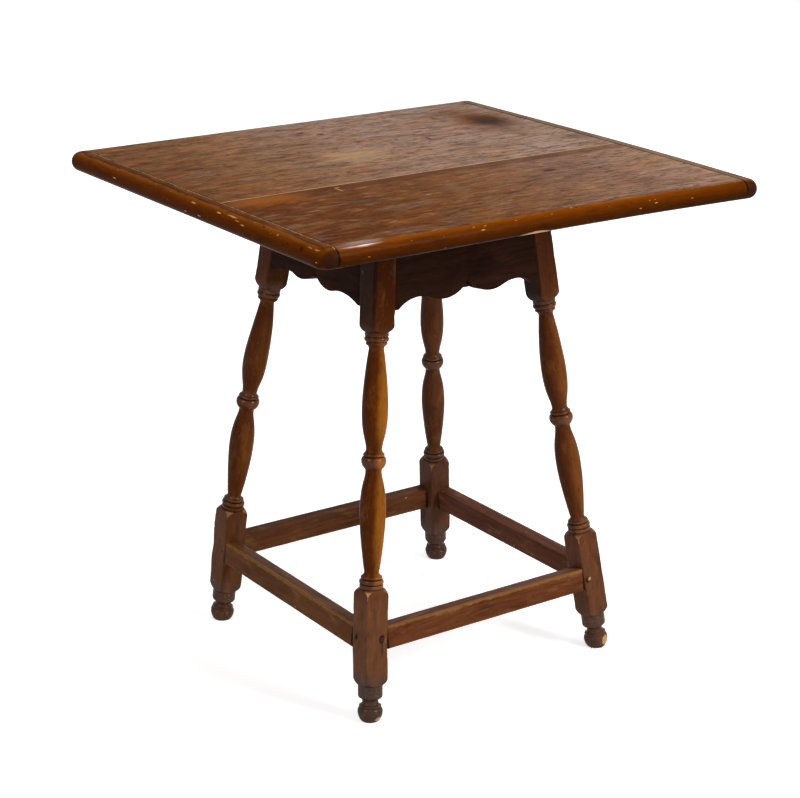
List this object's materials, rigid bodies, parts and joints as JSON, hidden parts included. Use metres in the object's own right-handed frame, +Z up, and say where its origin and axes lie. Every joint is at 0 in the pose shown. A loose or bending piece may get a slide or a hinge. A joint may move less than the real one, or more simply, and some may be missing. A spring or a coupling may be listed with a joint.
{
  "type": "tavern table",
  "caption": "Small square-framed tavern table: splayed turned legs, scalloped aprons, box stretcher and an overhanging two-board top between narrow breadboard ends.",
  "frame": {"origin": "on the floor under the middle of the top", "axes": "+X along the top's boards, -Y the front, +Z up"},
  "size_m": [0.697, 0.657, 0.7],
  "materials": {
    "leg_wood": "old brown varnish over turned hardwood, rubbed reddish on the outside of the swells",
    "apron_wood": "nearly black-brown old varnish",
    "stretcher_wood": "brown varnish worn to golden wood along the upper edges",
    "front_board_wood": "dark red-brown varnish with amber wear, glossy nose",
    "back_board_wood": "grey-brown weathered varnish with fine grain streaks",
    "end_wood": "dark red-brown varnish worn amber on the nose",
    "peg_wood": "dark end grain",
    "screw_steel": "dull steel"
  },
  "bodies": {
    "root": {"leg_front_left": "leg_wood", "leg_front_right": "leg_wood", "leg_back_left": "leg_wood", "leg_back_right": "leg_wood", "apron_front": "apron_wood", "apron_right": "apron_wood", "apron_back": "apron_wood", "apron_left": "apron_wood", "stretcher_front": "stretcher_wood", "stretcher_right": "stretcher_wood", "stretcher_back": "stretcher_wood", "stretcher_left": "stretcher_wood", "top_board_front": "front_board_wood", "top_board_back": "back_board_wood", "breadboard_end_left": "end_wood", "breadboard_end_right": "end_wood", "apron_pegs": "peg_wood", "stretcher_pegs": "peg_wood", "top_screws": "screw_steel"}
  },
  "joints": []
}
